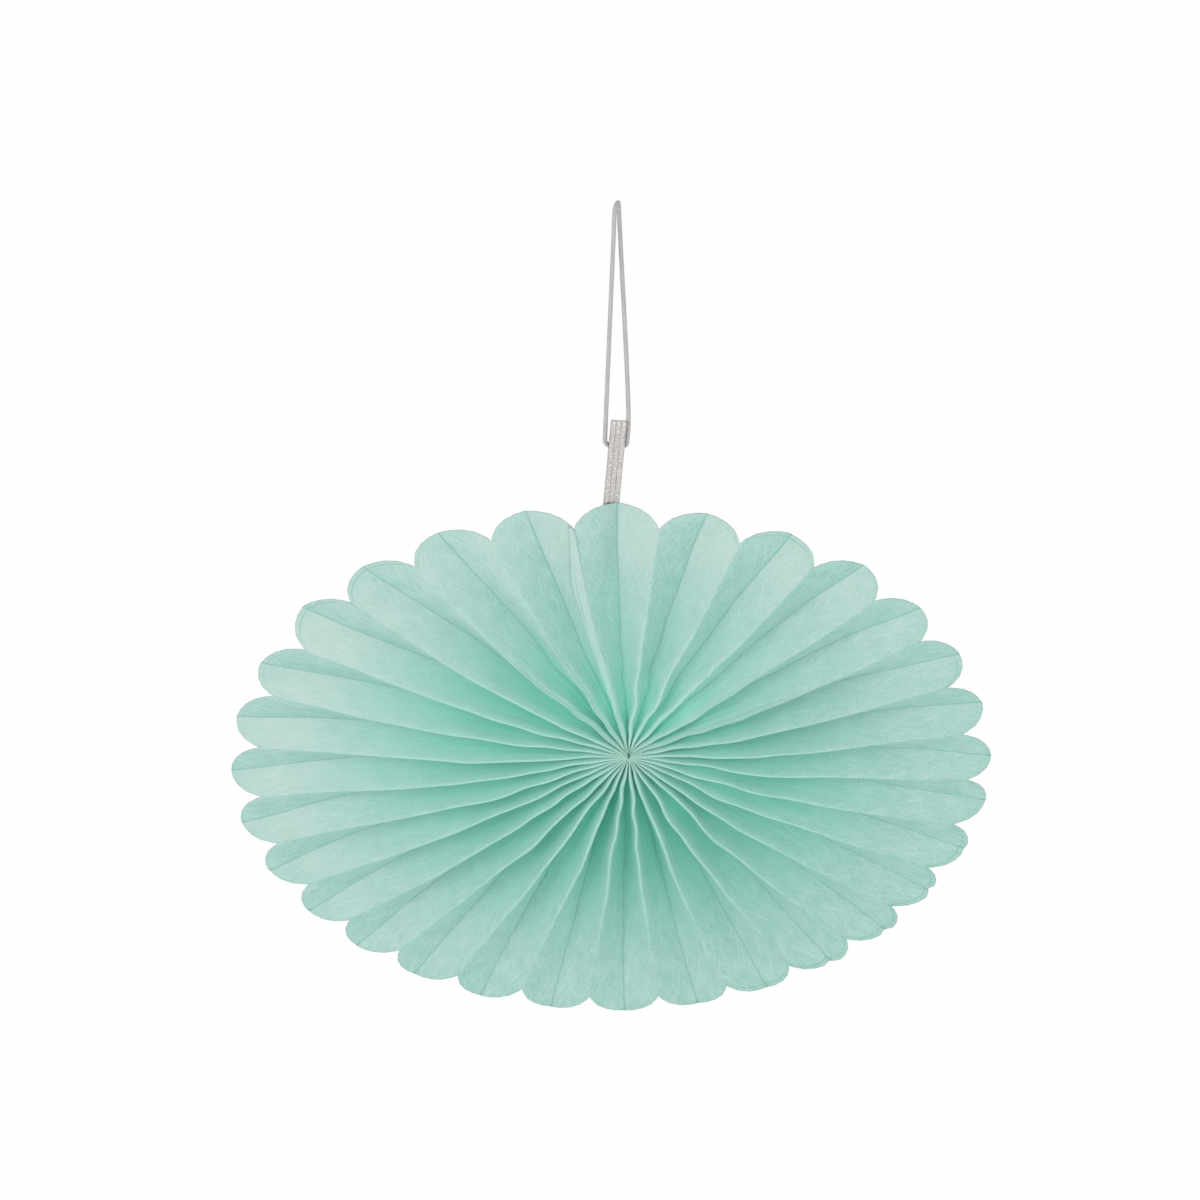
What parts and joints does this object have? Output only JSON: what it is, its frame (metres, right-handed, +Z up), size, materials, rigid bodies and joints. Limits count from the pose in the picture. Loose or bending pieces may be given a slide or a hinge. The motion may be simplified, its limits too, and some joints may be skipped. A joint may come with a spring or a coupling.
{
  "type": "paper fan rosette",
  "caption": "Round paper fan rosette: a pleated tissue sheet opened into a scalloped disc, hung from a ribbon tab and a thin cord loop.",
  "frame": {"origin": "the middle of the round disc, halfway through the depth of the pleats; the hub where the folds meet lies 3.4 mm to the right of it and 2.7 mm above it", "axes": "+Z up towards the hanging loop, -Y towards the front, +X to the right seen from the front"},
  "size_m": [0.15, 0.008, 0.2364],
  "materials": {
    "tissue_paper": "mint green tissue paper, matt and slightly see-through",
    "silver_ribbon": "woven silver ribbon with a fine metallic glint",
    "grey_cord": "smooth pale grey cord"
  },
  "bodies": {
    "root": {"paper_rosette": "tissue_paper", "ribbon_tab": "silver_ribbon", "hanging_cord": "grey_cord"}
  },
  "joints": []
}
